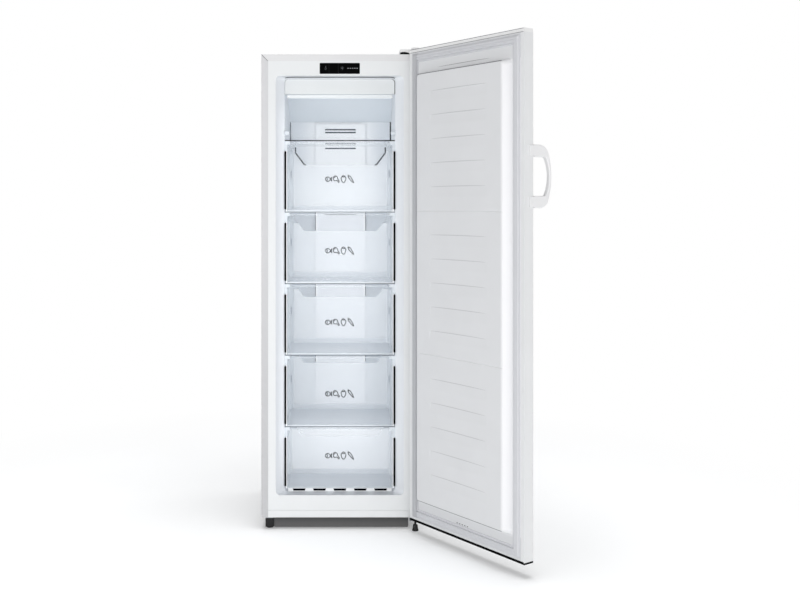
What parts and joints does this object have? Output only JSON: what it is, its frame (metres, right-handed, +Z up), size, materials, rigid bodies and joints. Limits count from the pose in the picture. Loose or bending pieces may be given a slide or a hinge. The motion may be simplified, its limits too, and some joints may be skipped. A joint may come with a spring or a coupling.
{
  "type": "upright freezer",
  "caption": "Free-standing upright freezer with a hinged door, clear pull-out drawers on glass shelves, a tilting top flap, levelling feet and rear rollers.",
  "frame": {"origin": "on the floor, under the middle of the cabinet's width and depth (the door, its gap and the wall spacers left out of the depth)", "axes": "+X to the right seen from the front, +Y to the back, +Z up; the door opens towards -Y"},
  "size_m": [0.9392, 0.9895, 1.6945],
  "materials": {
    "white_paint": "satin white stove enamel",
    "galvanised_steel": "dull galvanised sheet",
    "white_plastic": "soft gloss white",
    "liner_plastic": "soft gloss bluish white",
    "fan_cover_plastic": "matte blue grey",
    "door_liner_plastic": "soft gloss light grey",
    "clear_plastic": "clear moulded plastic",
    "shelf_glass": "clear toughened glass",
    "display_black": "black gloss window",
    "gasket_rubber": "light grey soft seal",
    "plinth_plastic": "dark grey moulded",
    "black_plastic": "black moulded",
    "grey_plastic": "grey moulded",
    "black_steel": "black lacquer",
    "bright_steel": "zinc plated",
    "evaporator_metal": "bare",
    "copper": "bare copper",
    "mount_rubber": "black rubber",
    "circuit_board": "green board",
    "foam": "rigid foam"
  },
  "bodies": {
    "cabinet": {"side_panel_left": "white_paint", "side_panel_right": "white_paint", "top_panel": "white_paint", "rear_panel": "galvanised_steel", "base_frame": "galvanised_steel", "front_frame": "white_plastic", "lower_front_panel": "white_plastic", "plinth": "plinth_plastic", "foot_block": "black_plastic", "display_window": "display_black", "control_board": "circuit_board", "inner_liner": "liner_plastic", "insulation_foam": "foam", "condenser_coil": "black_steel", "top_fascia": "white_plastic", "shelf_1": "shelf_glass", "shelf_2": "shelf_glass", "shelf_3": "shelf_glass", "shelf_4": "shelf_glass", "shelf_5": "shelf_glass", "shelf_rails": "liner_plastic", "air_return_grille": "liner_plastic", "evaporator_cover": "liner_plastic", "fan_cover": "fan_cover_plastic", "evaporator": "evaporator_metal", "defrost_heater": "evaporator_metal", "fan_motor": "black_steel", "flap_pivots": "liner_plastic", "compressor_mounts": "mount_rubber", "compressor": "black_steel", "evaporating_tray": "grey_plastic", "refrigerant_pipes": "copper", "rear_cover": "galvanised_steel", "mains_gland": "black_plastic", "wall_spacers": "black_plastic", "roller_axles": "bright_steel", "upper_hinge_bracket": "black_steel", "upper_hinge_cover": "white_plastic", "lower_hinge_bracket": "galvanised_steel", "hinge_screws": "bright_steel"},
    "door": {"door_outer_panel": "white_paint", "door_liner": "door_liner_plastic", "door_foam": "foam", "door_top_cap": "white_plastic", "door_bottom_cap": "black_plastic", "hinge_bushes": "grey_plastic", "door_gasket": "gasket_rubber", "door_handle": "white_plastic", "handle_screws": "bright_steel"},
    "drawer_1": {"drawer_1": "clear_plastic"},
    "drawer_2": {"drawer_2": "clear_plastic"},
    "drawer_3": {"drawer_3": "clear_plastic"},
    "drawer_4": {"drawer_4": "clear_plastic"},
    "drawer_5": {"drawer_5": "clear_plastic"},
    "flap": {"freezer_flap": "clear_plastic"},
    "fan": {"evaporator_fan": "grey_plastic"},
    "foot_left": {"levelling_foot_left": "black_plastic"},
    "foot_right": {"levelling_foot_right": "black_plastic"},
    "roller_left": {"rear_roller_left": "grey_plastic"},
    "roller_right": {"rear_roller_right": "grey_plastic"}
  },
  "joints": [
    {"name": "door_swing", "type": "hinge", "parent": "cabinet", "child": "door", "pos_m": [0.267, -0.273, 0.866], "axis": [0, 0, 1], "range_deg": [-125.5, 4.5]},
    {"name": "drawer_1_slide", "type": "slide", "parent": "cabinet", "child": "drawer_1", "axis": [0, -1, 0], "range_m": [0, 0.24]},
    {"name": "drawer_2_slide", "type": "slide", "parent": "cabinet", "child": "drawer_2", "axis": [0, -1, 0], "range_m": [0, 0.24]},
    {"name": "drawer_3_slide", "type": "slide", "parent": "cabinet", "child": "drawer_3", "axis": [0, -1, 0], "range_m": [0, 0.24]},
    {"name": "drawer_4_slide", "type": "slide", "parent": "cabinet", "child": "drawer_4", "axis": [0, -1, 0], "range_m": [0, 0.24]},
    {"name": "drawer_5_slide", "type": "slide", "parent": "cabinet", "child": "drawer_5", "axis": [0, -1, 0], "range_m": [0, 0.15]},
    {"name": "flap_tilt", "type": "hinge", "parent": "cabinet", "child": "flap", "pos_m": [0, -0.192, 1.403], "axis": [1, 0, 0], "range_deg": [0, 90]},
    {"name": "fan_spin", "type": "hinge", "parent": "cabinet", "child": "fan", "pos_m": [0, 0.169, 1.528], "axis": [0, 1, 0], "continuous": true},
    {"name": "foot_left_turn", "type": "hinge", "parent": "cabinet", "child": "foot_left", "pos_m": [-0.2485, -0.214, 0.01], "axis": [0, 0, 1], "continuous": true},
    {"name": "foot_right_turn", "type": "hinge", "parent": "cabinet", "child": "foot_right", "pos_m": [0.266, -0.254, 0.01], "axis": [0, 0, 1], "continuous": true},
    {"name": "roller_left_roll", "type": "hinge", "parent": "cabinet", "child": "roller_left", "pos_m": [-0.225, 0.2, 0.015], "axis": [1, 0, 0], "continuous": true},
    {"name": "roller_right_roll", "type": "hinge", "parent": "cabinet", "child": "roller_right", "pos_m": [0.225, 0.2, 0.015], "axis": [1, 0, 0], "continuous": true}
  ]
}
